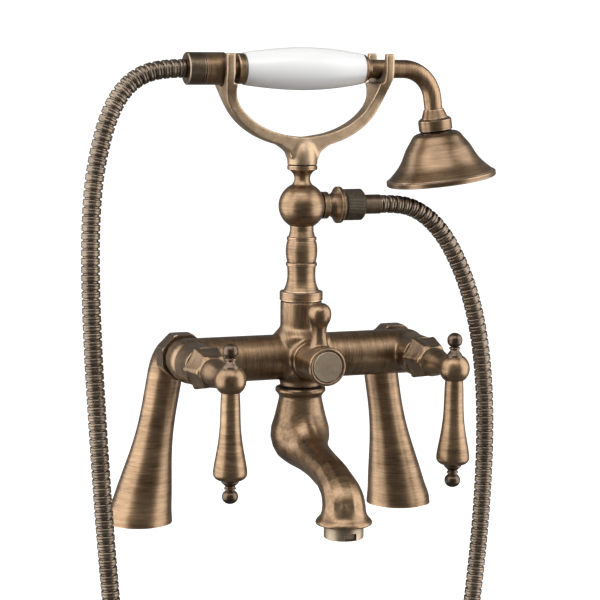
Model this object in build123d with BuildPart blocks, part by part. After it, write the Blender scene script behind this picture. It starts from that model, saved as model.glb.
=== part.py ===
from build123d import *
from math import cos, pi, radians, sin, sqrt, tan
import os

os.makedirs("parts", exist_ok=True)

# Bath shower mixer. X runs along the crossbar to the right, Y towards the back, Z up.
# The origin lies midway between the two deck holes, on the deck.

# Driving dimensions
deck_centres = 220.0
valve_centres = 174.0
valve_height = 135.0
column_reach = 62.5
cradle_span = 126.2

# Clearances, used wherever pieces meet
close_gap = 0.15
running_gap = 0.08
seat_gap = 0.3
overrun = 2.0
chamfer_edge = 0.6

# Frames: each has its Y line along the piece's own axis
column_axis = Axis((0, -column_reach, 0), (0, 0, 1))
column_plane = Plane(origin=(0, -column_reach, 0), x_dir=(1, 0, 0), z_dir=(0, -1, 0))


def frontward(x, z):
    """Frame with its Y line pointing to the front, from the column's plane."""
    return Plane(origin=(x, -column_reach, z), x_dir=(1, 0, 0), z_dir=(0, 0, -1))


def rightward(x, z):
    """Frame with its Y line pointing to the right, in the column's plane."""
    return Plane(origin=(x, -column_reach, z), x_dir=(0, 0, 1), z_dir=(0, 1, 0))


def spin_line(frame):
    """The line that a turned piece in this frame is turned about."""
    return Axis(frame.origin, frame.y_dir)


def stepped(frame, *corners):
    """Half section of a turned piece, from (radius, station) corners."""
    with BuildSketch(frame) as section:
        with BuildLine():
            Polyline(*corners, close=True)
        make_face()
    return section.sketch


def curved(frame, outer, inner):
    """Half section with a smooth outer line and straight inner corners."""
    with BuildSketch(frame) as section:
        with BuildLine():
            rim = Spline(*outer)
            Polyline(rim @ 1, *inner, rim @ 0)
        make_face()
    return section.sketch


def shaped(shares, radius, start, length):
    """Outline points from (radius share, length share) pairs."""
    return [(radius * across, start + length * along) for across, along in shares]


def save(piece, name):
    """Label a finished piece and write it to its own file."""
    piece.part.label = name
    export_step(piece.part, f"parts/{name}.step")


# Mixer body: crossbar, two barrels, hub with tower and neck, diverter boss
bar_radius = 17.2
barrel_radius = 15.6
barrel_front = 33.0
barrel_back = 17.5
nose_radius = 13.2
nose_end = 27.0
hub_radius = 21.0
tower_radius = 15.8
tower_height = 42.8
hub_rise = 22.5
neck_length = 23.2
hub_drop = 18.5
tower_top = valve_height + tower_height
tower_foot = valve_height + hub_rise
neck_bottom = valve_height - neck_length
neck_top = valve_height - hub_drop
flare_rise = 6.0
boss_radius = 15.0
boss_front = 25.0
chamber_radius = 10.4
inlet_radius = 8.0
bar_bore_radius = 9.0
column_bore_radius = 8.6
cartridge_depth = 14.0
diverter_bore_radius = 9.6
diverter_depth = 2.0
half_span = valve_centres / 2

with BuildPart() as mixer_body:
    with BuildSketch(Plane.YZ.offset(-half_span)):
        with Locations((-column_reach, valve_height)):
            Circle(bar_radius)
    extrude(amount=valve_centres)
    for side in (-1, 1):
        barrel = frontward(side * half_span, valve_height)
        outer = [(0, -nose_end), (nose_radius, -nose_end), (nose_radius, -barrel_back),
                 (barrel_radius, -barrel_back), (barrel_radius, barrel_front), (0, barrel_front)]
        revolve(stepped(barrel, *outer), axis=spin_line(barrel))
        with Locations((side * half_span, -column_reach, valve_height)):
            Sphere(bar_radius)
    hub_line = [(0, neck_bottom), (tower_radius, neck_bottom), (tower_radius, neck_top),
                (hub_radius, neck_top + flare_rise), (hub_radius, tower_foot - flare_rise),
                (tower_radius, tower_foot), (tower_radius, tower_top), (0, tower_top)]
    revolve(stepped(column_plane, *hub_line), axis=column_axis)
    boss = frontward(0, valve_height)
    boss_line = [(0, 0), (boss_radius, 0), (boss_radius, boss_front), (0, boss_front)]
    revolve(stepped(boss, *boss_line), axis=spin_line(boss))
    bar_frame = rightward(0, valve_height)
    bar_bore = [(0, -half_span), (bar_bore_radius, -half_span), (bar_bore_radius, half_span), (0, half_span)]
    revolve(stepped(bar_frame, *bar_bore), axis=spin_line(bar_frame), mode=Mode.SUBTRACT)
    for side in (-1, 1):
        barrel = frontward(side * half_span, valve_height)
        hollow = [(0, -nose_end - overrun), (inlet_radius, -nose_end - overrun), (inlet_radius, -cartridge_depth),
                  (chamber_radius, -cartridge_depth), (chamber_radius, barrel_front + overrun),
                  (0, barrel_front + overrun)]
        revolve(stepped(barrel, *hollow), axis=spin_line(barrel), mode=Mode.SUBTRACT)
    column_bore = [(0, neck_bottom - overrun), (column_bore_radius, neck_bottom - overrun),
                   (column_bore_radius, tower_top + overrun), (0, tower_top + overrun)]
    revolve(stepped(column_plane, *column_bore), axis=column_axis, mode=Mode.SUBTRACT)
    boss_bore = [(0, diverter_depth), (diverter_bore_radius, diverter_depth),
                 (diverter_bore_radius, boss_front + overrun), (0, boss_front + overrun)]
    revolve(stepped(boss, *boss_bore), axis=spin_line(boss), mode=Mode.SUBTRACT)
save(mixer_body, "mixer_body")


# Pillar legs: flared foot on the deck, leaning shank, bend into the union behind the barrel
foot_radius = 25.7
shank_radius = 13.6
shank_wall = 3.2
elbow_drop = 43.0
flare_height = valve_height - elbow_drop
# Flare outline: share of the height up to the elbow, and of the width over the shank
flare_shares = [(0.0, 1.0), (0.027, 1.0), (0.12, 0.86), (0.24, 0.70), (0.45, 0.42), (0.68, 0.14),
                (0.88, 0.02), (1.0, 0.0)]
bend_run = 28.5
bend_radius = 20.0
washer_thick = 2.0
tail_bore_radius = 12.1
tail_bore_depth = 16.0
seal_radius = 22.5
seal_bore = 14.0
seal_thick = 2.0
union_face_y = -column_reach + nose_end + washer_thick
leg_top_y = union_face_y + bend_run
union_collar_radius = 15.0
union_collar_thick = 3.0

foot_x = deck_centres / 2
lean = foot_x - half_span


def leg_point(side, height):
    """Centre of a leg's shank at a height above the deck."""
    share = height / valve_height
    return (side * (foot_x - lean * share), leg_top_y * share, height)


def leg_path(side):
    """Centre line of the shank's upper end: up, round the bend and forward to the union."""
    with BuildLine() as line:
        FilletPolyline(leg_point(side, flare_height), leg_point(side, valve_height),
                       (side * half_span, union_face_y, valve_height), radius=bend_radius)
    return line.line


def build_leg(side):
    """One pillar leg with its water way and its threaded tail bore."""
    path = leg_path(side)
    top = Plane(origin=path @ 0, z_dir=path % 0)
    end = Plane(origin=path @ 1, x_dir=(1, 0, 0), z_dir=(0, 1, 0))
    bore_radius = shank_radius - shank_wall
    with BuildPart() as leg:
        foot = leg_point(side, 0)
        shank = Vector(*(path @ 0)) - Vector(*foot)
        inward = Vector(-side, 0, side * shank.X / shank.Z)
        leaning = Plane(origin=foot, x_dir=inward, z_dir=inward.cross(shank))
        outline = [(shank_radius + (foot_radius - shank_radius) * width_share, shank.length * height_share)
                   for height_share, width_share in flare_shares]
        below = -foot_radius * sin(radians(shank.get_angle(Vector(0, 0, 1)))) - overrun
        root = [(0, shank.length), (0, below), (foot_radius, below)]
        revolve(curved(leaning, outline, root), axis=spin_line(leaning))
        split(bisect_by=Plane.XY, keep=Keep.TOP)
        with BuildSketch(top, mode=Mode.PRIVATE) as tube:
            Circle(shank_radius)
        sweep(tube.sketch, path=path)
        with BuildSketch(end):
            Circle(union_collar_radius)
        extrude(amount=union_collar_thick)
        with BuildSketch(top, mode=Mode.PRIVATE) as water_way:
            Circle(bore_radius)
        sweep(water_way.sketch, path=path, mode=Mode.SUBTRACT)
        low = leg_point(side, tail_bore_depth)
        with BuildSketch(Plane.XY.offset(tail_bore_depth), mode=Mode.PRIVATE) as low_end:
            with Locations((low[0], low[1])):
                Circle(bore_radius)
        with BuildSketch(top, mode=Mode.PRIVATE) as high_end:
            Circle(bore_radius)
        loft([low_end.sketch, high_end.sketch], mode=Mode.SUBTRACT)
        with BuildSketch(Plane.XY, mode=Mode.PRIVATE) as tail_bore:
            with Locations((side * foot_x, 0)):
                Circle(tail_bore_radius)
        extrude(tail_bore.sketch, amount=tail_bore_depth, mode=Mode.SUBTRACT)
        with BuildSketch(Plane.XY, mode=Mode.PRIVATE) as seal_recess:
            with Locations((side * foot_x, 0)):
                Circle(seal_radius)
                Circle(seal_bore, mode=Mode.SUBTRACT)
        extrude(seal_recess.sketch, amount=seal_thick, mode=Mode.SUBTRACT)
    return leg


for side, word in ((-1, "left"), (1, "right")):
    leg = build_leg(side)
    save(leg, f"{word}_leg")

# Rubber seals in the recesses of both feet
with BuildPart() as base_seals:
    with BuildSketch(Plane.XY):
        with Locations((-foot_x, 0), (foot_x, 0)):
            Circle(seal_radius - close_gap)
            Circle(seal_bore + close_gap, mode=Mode.SUBTRACT)
    extrude(amount=seal_thick)
save(base_seals, "base_seals")

# Union nuts and their fibre washers, between barrels and legs
nut_flats = 34.6
nut_sides = 8
nut_front = 17.8
nut_back = 33.6
nut_lip_radius = shank_radius + close_gap
nut_cavity_radius = union_collar_radius + close_gap
nut_thread_radius = nose_radius + close_gap
collar_back = nose_end + washer_thick + union_collar_thick

for side, word in ((-1, "left"), (1, "right")):
    frame = frontward(side * half_span, valve_height)
    with BuildPart() as union_nut:
        with BuildSketch(Plane(origin=frame.origin, x_dir=(0, 0, 1), z_dir=(0, 1, 0)).offset(nut_front)):
            RegularPolygon(nut_flats / 2, side_count=nut_sides, major_radius=False, rotation=180 / nut_sides)
        extrude(amount=nut_back - nut_front)
        corner = nut_flats / 2 / cos(pi / nut_sides)
        nose = nut_flats / 2 + chamfer_edge
        crown = corner - nose
        turned_nut = [(0, -nut_back), (nose, -nut_back), (corner, -nut_back + crown), (corner, -nut_front - crown),
                      (nose, -nut_front), (0, -nut_front)]
        revolve(stepped(frame, *turned_nut), axis=spin_line(frame), mode=Mode.INTERSECT)
        cavity = [(0, -nut_back - overrun), (nut_lip_radius, -nut_back - overrun), (nut_lip_radius, -collar_back),
                  (nut_cavity_radius, -collar_back), (nut_cavity_radius, -nose_end),
                  (nut_thread_radius, -nose_end), (nut_thread_radius, -nut_front + overrun),
                  (0, -nut_front + overrun)]
        revolve(stepped(frame, *cavity), axis=spin_line(frame), mode=Mode.SUBTRACT)
    save(union_nut, f"{word}_union_nut")

with BuildPart() as union_washers:
    ring = [(shank_radius - shank_wall, -nose_end - washer_thick), (nose_radius, -nose_end - washer_thick),
            (nose_radius, -nose_end), (shank_radius - shank_wall, -nose_end)]
    for side in (-1, 1):
        frame = frontward(side * half_span, valve_height)
        revolve(stepped(frame, *ring), axis=spin_line(frame))
save(union_washers, "union_washers")

# Valves: housing, fixed disc and bonnet stand still; moving disc, spindle and handle turn
housing_radius = chamber_radius - close_gap
housing_flange = 12.4
housing_flange_thick = 3.2
housing_neck = 7.8
housing_neck_length = 13.0
disc_radius = 7.6
disc_thick = 2.5
disc_bore_radius = 3.2
disc_seat = -8.0
spindle_radius = 3.9
driver_radius = 7.2
driver_thick = 3.0
spindle_short = 6.1
bonnet_back_radius = 17.6
bonnet_front_radius = 12.8
bonnet_ring_radius = 10.9
bonnet_ring_thick = 1.6
bonnet_length = 21.3
bonnet_wall = 2.8
bonnet_inner_back = 13.0
flute_radius = 30.0
flute_back_floor = 14.8
flute_front_floor = 11.2
flute_count = 6
hub_length = 35.8
ball_radius = 11.4
cone_back_radius = 10.2
cone_neck_radius = 6.4
cone_neck_back = 13.6
stem_flat = 8.7
stud_radius = 3.0
stud_length = 5.2
lever_length = 63.2
lever_radius = 12.4
lever_shares = [(0.532, 0.0), (0.56, 0.08), (0.62, 0.41), (0.82, 0.70), (0.98, 0.88), (0.96, 0.95), (0.76, 0.99),
                (0.5, 1.0)]
top_finial_height = 17.8
top_finial_radius = 6.0
top_finial_shares = [(1.0, 0.0), (0.97, 0.06), (0.80, 0.15), (0.58, 0.25), (0.54, 0.285), (0.67, 0.325),
                     (0.66, 0.385), (0.50, 0.42), (0.62, 0.455), (0.86, 0.55), (0.935, 0.685), (0.86, 0.82),
                     (0.60, 0.93), (0.25, 0.99)]
tip_finial_height = 17.2
tip_finial_radius = 6.4
tip_finial_shares = [(0.9, 0.0), (1.0, 0.06), (0.86, 0.14), (0.60, 0.23), (0.55, 0.27), (0.67, 0.33),
                     (0.64, 0.385), (0.50, 0.42), (0.58, 0.455), (0.82, 0.55), (0.915, 0.69), (0.82, 0.84),
                     (0.55, 0.945), (0.25, 0.99)]
disc_top = disc_seat + 2 * disc_thick
housing_neck_end = barrel_front + housing_neck_length
bonnet_end = barrel_front + bonnet_length
bonnet_face = bonnet_end - bonnet_ring_thick
handle_reach = bonnet_end + hub_length
cone_neck_at = handle_reach - cone_neck_back
spindle_end = handle_reach - spindle_short

for side, word in ((-1, "hot"), (1, "cold")):
    frame = frontward(side * half_span, valve_height)

    with BuildPart() as valve_housing:
        flange_end = barrel_front + housing_flange_thick
        body_line = [(0, -cartridge_depth), (housing_radius, -cartridge_depth), (housing_radius, barrel_front),
                     (housing_flange, barrel_front), (housing_flange, flange_end), (housing_neck, flange_end),
                     (housing_neck, housing_neck_end), (0, housing_neck_end)]
        revolve(stepped(frame, *body_line), axis=spin_line(frame))
        bore = spindle_radius + running_gap
        pocket = disc_radius + close_gap
        pocket_end = disc_top + driver_thick + seat_gap
        way = [(0, -cartridge_depth - overrun), (disc_bore_radius, -cartridge_depth - overrun),
               (disc_bore_radius, disc_seat), (pocket, disc_seat), (pocket, pocket_end), (bore, pocket_end),
               (bore, housing_neck_end + overrun), (0, housing_neck_end + overrun)]
        revolve(stepped(frame, *way), axis=spin_line(frame), mode=Mode.SUBTRACT)
    save(valve_housing, f"{word}_valve_housing")

    with BuildPart() as moving_disc:
        plate = [(0, disc_seat + disc_thick), (disc_radius - seat_gap, disc_seat + disc_thick),
                 (disc_radius - seat_gap, disc_top), (0, disc_top)]
        revolve(stepped(frame, *plate), axis=spin_line(frame))
        with BuildSketch(Plane(origin=frame.origin, x_dir=(1, 0, 0), z_dir=(0, -1, 0)).offset(disc_top)):
            with Locations((disc_radius, 0)):
                Circle(disc_bore_radius)
        extrude(amount=-disc_thick, mode=Mode.SUBTRACT)
    save(moving_disc, f"{word}_moving_disc")

    with BuildPart() as spindle:
        rod = [(0, disc_top), (driver_radius, disc_top), (driver_radius, disc_top + driver_thick),
               (spindle_radius, disc_top + driver_thick), (spindle_radius, spindle_end), (0, spindle_end)]
        revolve(stepped(frame, *rod), axis=spin_line(frame))
    save(spindle, f"{word}_spindle")

    with BuildPart() as bonnet:
        cover = [(0, barrel_front), (bonnet_back_radius - chamfer_edge, barrel_front),
                 (bonnet_back_radius, barrel_front + chamfer_edge),
                 (bonnet_front_radius, bonnet_face), (0, bonnet_face)]
        revolve(stepped(frame, *cover), axis=spin_line(frame))
        fall = (flute_back_floor - flute_front_floor) / (bonnet_face - barrel_front)
        front_plane = Plane(origin=frame.origin, x_dir=(1, 0, 0), z_dir=(0, -1, 0))
        for flute in range(flute_count):
            ends = []
            for station in (barrel_front - overrun, bonnet_face + overrun):
                out = flute_back_floor - fall * (station - barrel_front) + flute_radius
                with BuildSketch(front_plane.offset(station), mode=Mode.PRIVATE) as flute_end:
                    with PolarLocations(out, 1, start_angle=360 * (flute + 0.5) / flute_count):
                        Circle(flute_radius)
                ends.append(flute_end.sketch)
            loft(ends, ruled=True, mode=Mode.SUBTRACT)
        ring = [(0, bonnet_face - overrun), (bonnet_ring_radius, bonnet_face - overrun),
                (bonnet_ring_radius, bonnet_end), (0, bonnet_end)]
        revolve(stepped(frame, *ring), axis=spin_line(frame))
        inside = [(0, barrel_front - overrun), (bonnet_inner_back, barrel_front - overrun),
                  (bonnet_inner_back, flange_end + seat_gap),
                  (bonnet_front_radius - bonnet_wall, bonnet_face - bonnet_wall),
                  (housing_neck + close_gap, bonnet_face - bonnet_wall),
                  (housing_neck + close_gap, bonnet_end + overrun), (0, bonnet_end + overrun)]
        revolve(stepped(frame, *inside), axis=spin_line(frame), mode=Mode.SUBTRACT)
    save(bonnet, f"{word}_bonnet")

    with BuildPart() as handle_hub:
        hub_start = bonnet_end + seat_gap
        cone = [(cone_back_radius, hub_start), (cone_back_radius, hub_start + 2 * chamfer_edge),
                ((cone_back_radius + cone_neck_radius) / 2, (hub_start + cone_neck_at) / 2),
                (cone_neck_radius, cone_neck_at)]
        revolve(curved(frame, cone, [(cone_neck_radius, handle_reach), (0, handle_reach), (0, hub_start)]),
                axis=spin_line(frame))
        with Locations((side * half_span, -column_reach - handle_reach, valve_height)):
            Sphere(ball_radius)
        socket = [(0, hub_start - overrun), (spindle_radius, hub_start - overrun), (spindle_radius, spindle_end),
                  (0, spindle_end)]
        revolve(stepped(frame, *socket), axis=spin_line(frame), mode=Mode.SUBTRACT)
        handle_frame = Plane(origin=(side * half_span, -column_reach - handle_reach, valve_height),
                             x_dir=(1, 0, 0), z_dir=(0, -1, 0))
        for way in (-1, 1):
            flat = [(0, way * stem_flat), (ball_radius, way * stem_flat),
                    (ball_radius, way * (ball_radius + overrun)), (0, way * (ball_radius + overrun))]
            revolve(stepped(handle_frame, *flat), axis=spin_line(handle_frame), mode=Mode.SUBTRACT)
            hole = stud_radius + close_gap
            inner = stem_flat - stud_length
            tapped = [(0, way * inner), (hole, way * inner), (hole, way * (stem_flat + overrun)),
                      (0, way * (stem_flat + overrun))]
            revolve(stepped(handle_frame, *tapped), axis=spin_line(handle_frame), mode=Mode.SUBTRACT)
    save(handle_hub, f"{word}_handle_hub")


    # Tapered lever below the ball, with a finial screwed in at each end
    lever_end = stem_flat + lever_length
    with BuildPart() as lever:
        outline = shaped(lever_shares, lever_radius, -stem_flat, -lever_length)
        revolve(curved(handle_frame, outline, [(0, -lever_end), (0, -stem_flat)]), axis=spin_line(handle_frame))
        stud_top = stud_length - stem_flat - close_gap
        stud = [(0, -stem_flat), (stud_radius, -stem_flat), (stud_radius, stud_top), (0, stud_top)]
        revolve(stepped(handle_frame, *stud), axis=spin_line(handle_frame))
        hole_radius = stud_radius + close_gap
        hole = [(0, -lever_end - overrun), (hole_radius, -lever_end - overrun),
                (hole_radius, stud_length - lever_end), (0, stud_length - lever_end)]
        revolve(stepped(handle_frame, *hole), axis=spin_line(handle_frame), mode=Mode.SUBTRACT)
    save(lever, f"{word}_lever")

    with BuildPart() as lever_top:
        outline = shaped(top_finial_shares, top_finial_radius, stem_flat, top_finial_height)
        revolve(curved(handle_frame, outline, [(0, stem_flat + top_finial_height), (0, stem_flat)]),
                axis=spin_line(handle_frame))
        stud_end = stem_flat - stud_length + close_gap
        stud = [(0, stud_end), (stud_radius, stud_end), (stud_radius, stem_flat), (0, stem_flat)]
        revolve(stepped(handle_frame, *stud), axis=spin_line(handle_frame))
    save(lever_top, f"{word}_lever_top")

    with BuildPart() as lever_tip:
        outline = shaped(tip_finial_shares, tip_finial_radius, -lever_end, -tip_finial_height)
        revolve(curved(handle_frame, outline, [(0, -lever_end - tip_finial_height), (0, -lever_end)]),
                axis=spin_line(handle_frame))
        stud_end = stud_length - lever_end - close_gap
        stud = [(0, -lever_end), (stud_radius, -lever_end), (stud_radius, stud_end), (0, stud_end)]
        revolve(stepped(handle_frame, *stud), axis=spin_line(handle_frame))
    save(lever_tip, f"{word}_lever_tip")

with BuildPart() as fixed_discs:
    plate = [(disc_bore_radius, disc_seat), (disc_radius, disc_seat),
             (disc_radius, disc_seat + disc_thick), (disc_bore_radius, disc_seat + disc_thick)]
    for side in (-1, 1):
        frame = frontward(side * half_span, valve_height)
        revolve(stepped(frame, *plate), axis=spin_line(frame))
save(fixed_discs, "fixed_discs")

# Diverter in the boss: fixed cartridge, turning spindle, handle, screw and cap disc
diverter_neck_radius = 7.0
diverter_neck_length = 8.7
diverter_spindle_radius = 3.4
diverter_spindle_start = 5.0
diverter_spindle_short = 9.4
diverter_screw_radius = 1.6
diverter_screw_depth = 6.0
diverter_head_radius = 3.4
diverter_head_thick = 2.4
diverter_length = 32.1
diverter_hub_radius = 14.5
diverter_hub_shares = [(0.975, 0.0), (0.96, 0.2), (0.96, 0.5), (0.975, 0.8), (1.0, 0.94), (0.96, 1.0)]
diverter_cap_radius = 11.6
diverter_cap_thick = 2.2
diverter_lever_back = 18.8
diverter_lever_height = 45.4
diverter_lever_radius = 8.75
diverter_lever_shares = [(1.06, 0.22), (0.82, 0.30), (0.66, 0.42), (0.62, 0.52), (0.70, 0.62), (0.92, 0.71),
                         (1.02, 0.80), (0.94, 0.90), (0.62, 0.975), (0.2, 1.0)]
diverter_start = boss_front + seat_gap
diverter_neck_end = diverter_start + diverter_neck_length
diverter_face = diverter_start + diverter_length
diverter_spindle_end = diverter_face - diverter_spindle_short
diverter_lever_at = diverter_face - diverter_lever_back
diverter_floor = diverter_face - diverter_cap_thick

with BuildPart() as diverter_housing:
    radius = diverter_bore_radius - close_gap
    plug = [(0, diverter_depth), (radius, diverter_depth), (radius, boss_front - overrun),
            (diverter_neck_radius, boss_front - overrun), (diverter_neck_radius, diverter_neck_end),
            (0, diverter_neck_end)]
    revolve(stepped(boss, *plug), axis=spin_line(boss))
    bore = diverter_spindle_radius + running_gap
    well = [(0, diverter_spindle_start - seat_gap), (bore, diverter_spindle_start - seat_gap),
            (bore, diverter_neck_end + overrun), (0, diverter_neck_end + overrun)]
    revolve(stepped(boss, *well), axis=spin_line(boss), mode=Mode.SUBTRACT)
save(diverter_housing, "diverter_housing")

with BuildPart() as diverter_spindle:
    rod = [(0, diverter_spindle_start), (diverter_spindle_radius, diverter_spindle_start),
           (diverter_spindle_radius, diverter_spindle_end), (0, diverter_spindle_end)]
    revolve(stepped(boss, *rod), axis=spin_line(boss))
    tap_radius = diverter_screw_radius + close_gap
    tap = [(0, diverter_spindle_end - diverter_screw_depth - seat_gap),
           (tap_radius, diverter_spindle_end - diverter_screw_depth - seat_gap),
           (tap_radius, diverter_spindle_end + overrun), (0, diverter_spindle_end + overrun)]
    revolve(stepped(boss, *tap), axis=spin_line(boss), mode=Mode.SUBTRACT)
save(diverter_spindle, "diverter_spindle")

with BuildPart() as diverter_handle:
    outline = shaped(diverter_hub_shares, diverter_hub_radius, diverter_start, diverter_face - diverter_start)
    revolve(curved(boss, outline, [(0, diverter_face), (0, diverter_start)]), axis=spin_line(boss))
    lever_plane = Plane(origin=(0, -column_reach - diverter_lever_at, valve_height),
                        x_dir=(1, 0, 0), z_dir=(0, -1, 0))
    outline = shaped(diverter_lever_shares, diverter_lever_radius, 0, diverter_lever_height)
    first_share = diverter_lever_shares[0][1]
    root = [(0, diverter_lever_height), (0, diverter_lever_height * first_share)]
    revolve(curved(lever_plane, outline, root), axis=spin_line(lever_plane))
    inside = [(0, diverter_start - overrun), (diverter_neck_radius + seat_gap, diverter_start - overrun),
              (diverter_neck_radius + seat_gap, diverter_neck_end + seat_gap),
              (diverter_spindle_radius, diverter_neck_end + seat_gap),
              (diverter_spindle_radius, diverter_spindle_end), (diverter_screw_radius + close_gap, diverter_spindle_end),
              (diverter_screw_radius + close_gap, diverter_spindle_end + overrun),
              (diverter_head_radius + seat_gap, diverter_spindle_end + overrun),
              (diverter_head_radius + seat_gap, diverter_floor), (diverter_cap_radius + close_gap, diverter_floor),
              (diverter_cap_radius + close_gap, diverter_face + overrun), (0, diverter_face + overrun)]
    revolve(stepped(boss, *inside), axis=spin_line(boss), mode=Mode.SUBTRACT)
save(diverter_handle, "diverter_handle")

with BuildPart() as diverter_screw:
    seat = diverter_spindle_end + overrun
    screw = [(0, diverter_spindle_end - diverter_screw_depth),
             (diverter_screw_radius, diverter_spindle_end - diverter_screw_depth), (diverter_screw_radius, seat),
             (diverter_head_radius, seat), (diverter_head_radius, seat + diverter_head_thick),
             (0, seat + diverter_head_thick)]
    revolve(stepped(boss, *screw), axis=spin_line(boss))
save(diverter_screw, "diverter_screw")

with BuildPart() as diverter_cap:
    disc = [(0, diverter_floor), (diverter_cap_radius, diverter_floor), (diverter_cap_radius, diverter_face - chamfer_edge),
            (diverter_cap_radius - chamfer_edge, diverter_face), (0, diverter_face)]
    revolve(stepped(boss, *disc), axis=spin_line(boss))
save(diverter_cap, "diverter_cap")

# Spout: rolled top rim under the neck, S bend, flared outlet with its aerator
spout_rim_top = neck_bottom - seat_gap
spout_neck_radius = 16.6
spout_reach = 91.5
outlet_rim_radius = 20.8
outlet_drop = 86.5
outlet_rim_bottom = spout_rim_top - outlet_drop
spout_seal_thick = 2.0
spout_tail_radius = 8.3
spout_tail_rise = 10.5
spout_tail_top = spout_rim_top + spout_tail_rise
aerator_radius = 14.6
aerator_stand = 10.0
aerator_bottom = outlet_rim_bottom - aerator_stand
aerator_skirt = 12.4
aerator_thread = 10.0
aerator_thread_top = outlet_rim_bottom + aerator_thread
spout_screw_depth = 15.5
spout_screw_foot = spout_rim_top - spout_screw_depth
insert_thick = 8.0
slot_width = 9.0
slot_depth = 2.2
slot_height = 5.0
spout_way_radius = 8.0
spout_way_bend = 14.0
spout_way_rise = 25.0
spout_way_drop = 45.5
spout_way_high = spout_rim_top - spout_way_drop
spout_way_low = outlet_rim_bottom + spout_way_rise
spout_length = 60.5
spout_bottom = spout_rim_top - spout_length
spout_arm_rise = 43.5
spout_arm_high = outlet_rim_bottom + spout_arm_rise
outlet_length = 11.0
spout_arm_end = outlet_rim_bottom + outlet_length
crease_round = 30.0
crease_below = 21.5
crease_reach = 47.5
# Outlet flare: share of the way out to the lip, and of the drop below the arm's end
outlet_flare_shares = [(0.0, 0.0), (0.06, 0.18), (0.28, 0.42), (0.72, 0.64), (1.0, 0.82), (0.88, 1.0)]
arm_start_slope = 0.15
# Neck outline from the bottom of its bulb up, and the arm's centre line and widths
spout_neck_shares = [(0.0, 0.0), (0.57, 0.036), (1.02, 0.116), (1.295, 0.264), (1.373, 0.43), (1.18, 0.628),
                     (1.006, 0.836), (1.0, 0.895), (1.127, 0.925), (1.163, 0.95), (1.127, 1.0)]
spout_line_shares = [(0.0, 0.0), (0.235, 0.14), (0.497, 0.266), (0.727, 0.39), (0.902, 0.61), (1.0, 1.0)]
spout_width_shares = [(0.0, 1.12), (0.2, 0.95), (0.42, 0.80), (0.6, 0.78), (0.78, 0.82), (0.9, 0.91), (1.0, 0.97)]
outlet_line = Axis((0, -column_reach - spout_reach, 0), (0, 0, 1))
outlet_plane = Plane(origin=(0, -column_reach - spout_reach, 0), x_dir=(1, 0, 0), z_dir=(0, -1, 0))

with BuildPart() as spout:
    outline = shaped(spout_neck_shares, spout_neck_radius, spout_bottom, spout_rim_top - spout_bottom)
    revolve(curved(column_plane, outline, [(0, spout_rim_top)]), axis=column_axis)
    arm_fall = spout_arm_high - spout_arm_end
    with BuildLine(Plane.YZ) as middle:
        Spline(*[(-column_reach - spout_reach * forward, spout_arm_high - arm_fall * drop)
                 for forward, drop in spout_line_shares], tangents=((-1, -arm_start_slope), (0, -1)))
    slices = []
    for along, width in spout_width_shares:
        spot = Plane(origin=middle.line @ along, x_dir=(1, 0, 0), z_dir=middle.line % along)
        with BuildSketch(spot, mode=Mode.PRIVATE) as ring:
            Circle(spout_neck_radius * width)
        slices.append(ring.sketch)
    sweep(slices, path=middle.line, multisection=True)
    arm_end_radius = spout_neck_radius * spout_width_shares[-1][1]
    lip = [(arm_end_radius + (outlet_rim_radius - arm_end_radius) * out, spout_arm_end - outlet_length * down)
           for out, down in outlet_flare_shares]
    revolve(curved(outlet_plane, lip, [(0, outlet_rim_bottom), (0, spout_arm_end)]), axis=outlet_line)
    # The crease where the arm leaves the neck is the longest edge beside the column, under the neck's waist
    creases = [edge for edge in spout.edges()
               if edge.bounding_box().max.Z < spout_rim_top - crease_below
               and edge.bounding_box().min.Y > -column_reach - crease_reach]
    fillet(ShapeList(creases).sort_by(SortBy.LENGTH)[-1], radius=crease_round)
    with BuildLine(Plane.YZ) as water_line:
        FilletPolyline((-column_reach, spout_rim_top - spout_seal_thick), (-column_reach, spout_way_high),
                       (-column_reach - spout_reach, spout_way_low),
                       (-column_reach - spout_reach, aerator_thread_top - overrun), radius=spout_way_bend)
    with BuildSketch(Plane(origin=water_line.line @ 0, z_dir=water_line.line % 0), mode=Mode.PRIVATE) as way_ring:
        Circle(spout_way_radius)
    sweep(way_ring.sketch, path=water_line.line, mode=Mode.SUBTRACT)
    recess_radius = tower_radius + close_gap
    recess = [(0, spout_screw_foot), (spout_tail_radius, spout_screw_foot),
              (spout_tail_radius, spout_rim_top - spout_seal_thick), (recess_radius, spout_rim_top - spout_seal_thick),
              (recess_radius, spout_rim_top + overrun), (0, spout_rim_top + overrun)]
    revolve(stepped(column_plane, *recess), axis=column_axis, mode=Mode.SUBTRACT)
    thread = [(0, outlet_rim_bottom - overrun), (aerator_skirt + close_gap, outlet_rim_bottom - overrun),
              (aerator_skirt + close_gap, aerator_thread_top), (0, aerator_thread_top)]
    revolve(stepped(outlet_plane, *thread), axis=outlet_line, mode=Mode.SUBTRACT)
save(spout, "spout")

# Seal between the mixer's neck and the spout's rim, and the threaded tail that holds the spout
with BuildPart() as spout_seal:
    ring = [(spout_tail_radius, spout_rim_top - spout_seal_thick), (tower_radius, spout_rim_top - spout_seal_thick),
            (tower_radius, neck_bottom), (spout_tail_radius, neck_bottom)]
    revolve(stepped(column_plane, *ring), axis=column_axis)
save(spout_seal, "spout_seal")

spout_screw_radius = spout_tail_radius - close_gap
spout_screw_bore = 5.5
with BuildPart() as spout_tail:
    sleeve = [(spout_screw_bore, spout_screw_foot), (spout_screw_radius - close_gap, spout_screw_foot),
              (spout_screw_radius - close_gap, spout_tail_top), (spout_screw_bore, spout_tail_top)]
    revolve(stepped(column_plane, *sleeve), axis=column_axis)
save(spout_tail, "spout_tail")

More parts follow.
